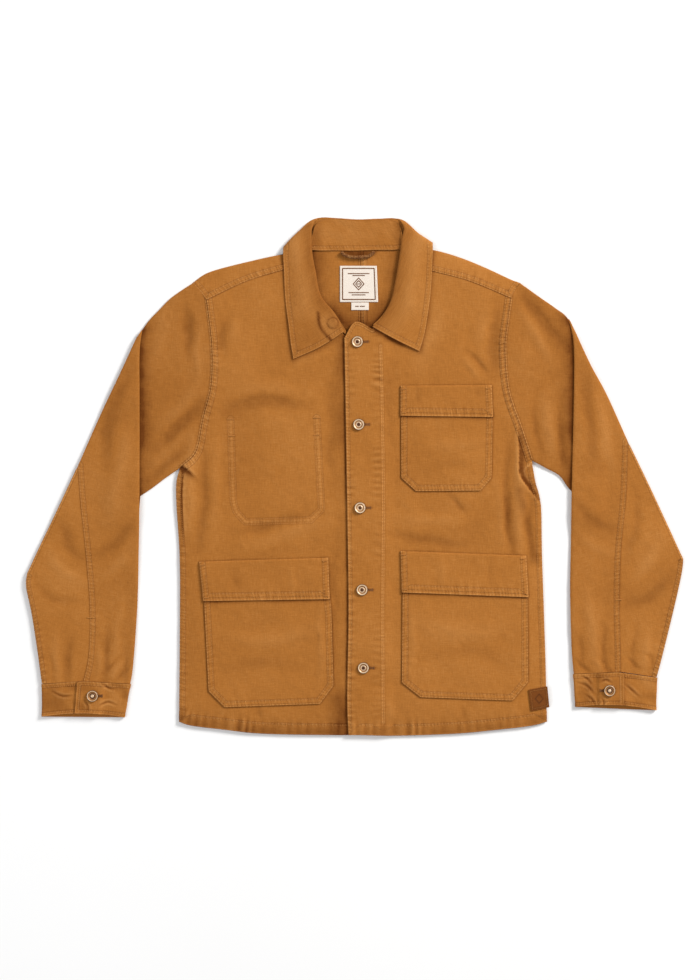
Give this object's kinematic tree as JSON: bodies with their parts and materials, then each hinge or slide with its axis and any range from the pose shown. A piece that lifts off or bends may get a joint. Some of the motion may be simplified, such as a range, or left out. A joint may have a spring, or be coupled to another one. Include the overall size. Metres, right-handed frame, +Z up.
{
  "type": "chore jacket",
  "caption": "Canvas chore jacket laid flat with its front up: turned collar, buttoned front, patch pockets and tucked sleeves with buttoned cuffs.",
  "frame": {"origin": "centre of the bounding box in plan, at the underside that lies on the table", "axes": "+X towards the wearer's left side, +Y from the hem to the collar, +Z up out of the front"},
  "size_m": [0.9836, 0.7781, 0.0102],
  "materials": {
    "canvas": "garment-dyed cotton canvas, matt, with paler wear on its seams and edges",
    "woven_label": "off-white woven tape",
    "leather": "brown vegetable-tanned leather, matt",
    "cord": "dark brown twisted cord",
    "brass": "antique brass, satin, worn bright on the rims"
  },
  "bodies": {
    "root": {"back_left": "canvas", "back_right": "canvas", "button_1": "brass", "button_2": "brass", "button_3": "brass", "button_4": "brass", "button_5": "brass", "button_cuff_left": "brass", "button_cuff_right": "brass", "collar_fall": "canvas", "collar_stand": "canvas", "cuff_left": "canvas", "cuff_right": "canvas", "front_left": "canvas", "front_right": "canvas", "hanger_loop": "cord", "hem_tab": "leather", "neck_label": "woven_label", "pocket_chest_left": "canvas", "pocket_chest_left_hem": "canvas", "pocket_lower_left": "canvas", "pocket_lower_left_hem": "canvas", "pocket_lower_right": "canvas", "pocket_lower_right_hem": "canvas", "shoulder_left": "canvas", "shoulder_right": "canvas", "size_label": "woven_label", "sleeve_left_elbow": "canvas", "sleeve_left_head": "canvas", "sleeve_left_top": "canvas", "sleeve_left_under": "canvas", "sleeve_right_elbow": "canvas", "sleeve_right_head": "canvas", "sleeve_right_top": "canvas", "sleeve_right_under": "canvas"}
  },
  "joints": []
}
